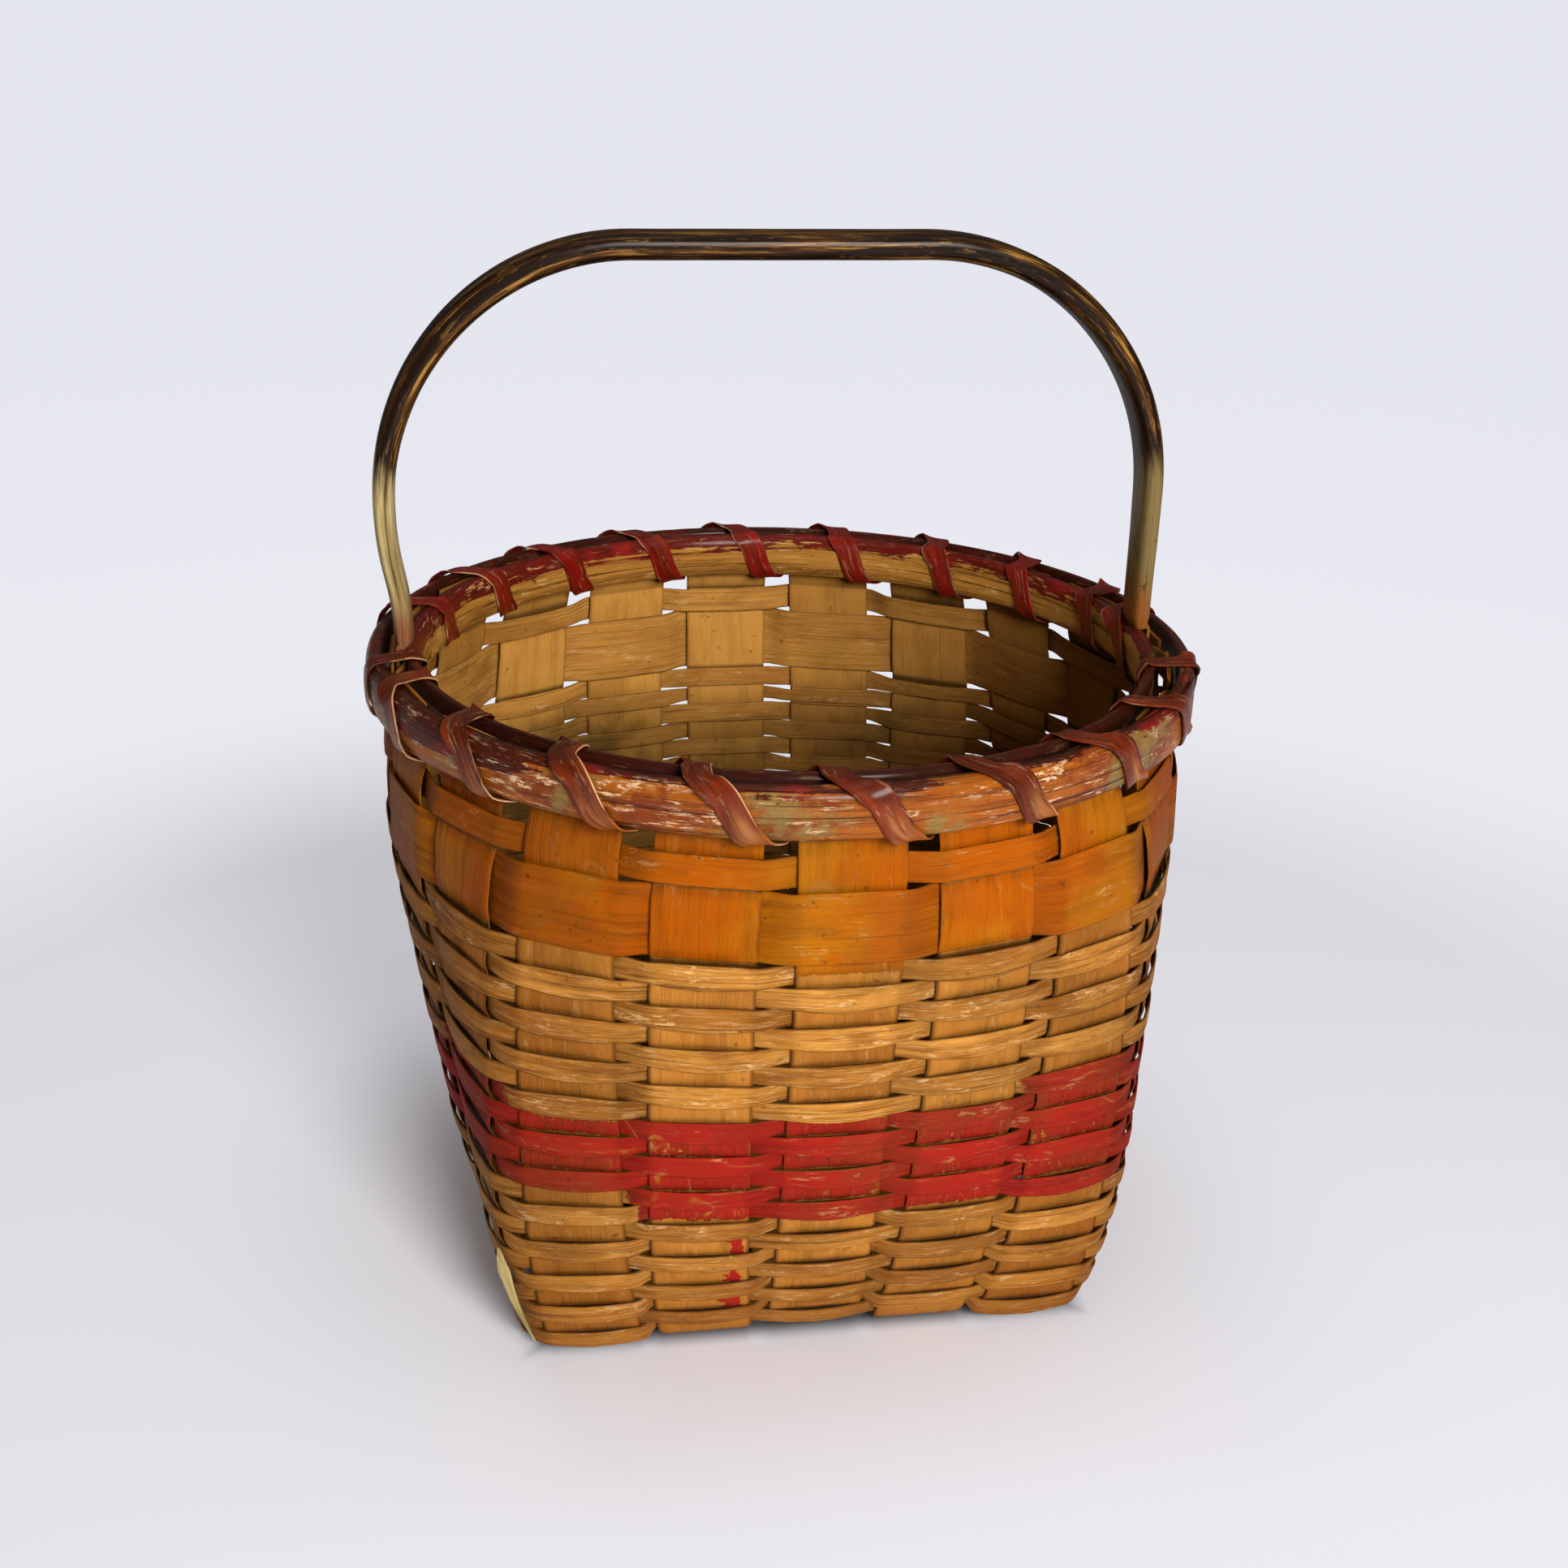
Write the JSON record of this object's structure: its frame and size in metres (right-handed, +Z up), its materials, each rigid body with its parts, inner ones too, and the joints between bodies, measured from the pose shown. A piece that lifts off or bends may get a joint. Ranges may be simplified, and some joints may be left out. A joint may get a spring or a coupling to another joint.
{
  "type": "gathering basket",
  "caption": "Splint-woven gathering basket with a square base, a round lashed rim and a fixed bent bow handle, painted with an orange and a red band.",
  "frame": {"origin": "on the floor under the middle of the basket", "axes": "+Z up from the base to the handle, X along the handle's span, -Y towards the front of the picture"},
  "size_m": [0.3018, 0.3196, 0.378],
  "materials": {
    "natural_splint": "aged bare ash splint",
    "orange_splint": "worn ochre-orange paint",
    "red_splint": "dull red paint",
    "painted_hoop": "worn red and orange paint",
    "painted_lashing": "worn dark red paint",
    "dark_handle": "dark, hand-polished"
  },
  "bodies": {
    "root": {"bow_handle": "dark_handle", "cross_stake_1": "natural_splint", "cross_stake_2": "natural_splint", "cross_stake_3": "natural_splint", "cross_stake_4": "natural_splint", "cross_stake_5": "natural_splint", "inner_hoop": "painted_hoop", "long_stake_1": "natural_splint", "long_stake_2": "natural_splint", "long_stake_3": "natural_splint", "long_stake_4": "natural_splint", "long_stake_5": "natural_splint", "outer_hoop": "painted_hoop", "rim_lashing": "painted_lashing", "rim_weaver": "natural_splint", "top_weaver": "orange_splint", "weaver_01": "natural_splint", "weaver_02": "natural_splint", "weaver_03": "natural_splint", "weaver_04": "natural_splint", "weaver_05": "natural_splint", "weaver_06": "natural_splint", "weaver_07": "natural_splint", "weaver_08": "natural_splint", "weaver_09": "red_splint", "weaver_10": "red_splint", "weaver_11": "red_splint", "weaver_12": "red_splint", "weaver_13": "red_splint", "weaver_14": "red_splint", "weaver_15": "red_splint", "weaver_16": "natural_splint", "weaver_17": "natural_splint", "weaver_18": "natural_splint", "weaver_19": "natural_splint", "weaver_20": "natural_splint", "weaver_21": "natural_splint", "weaver_22": "natural_splint", "wide_band": "orange_splint"}
  },
  "joints": []
}
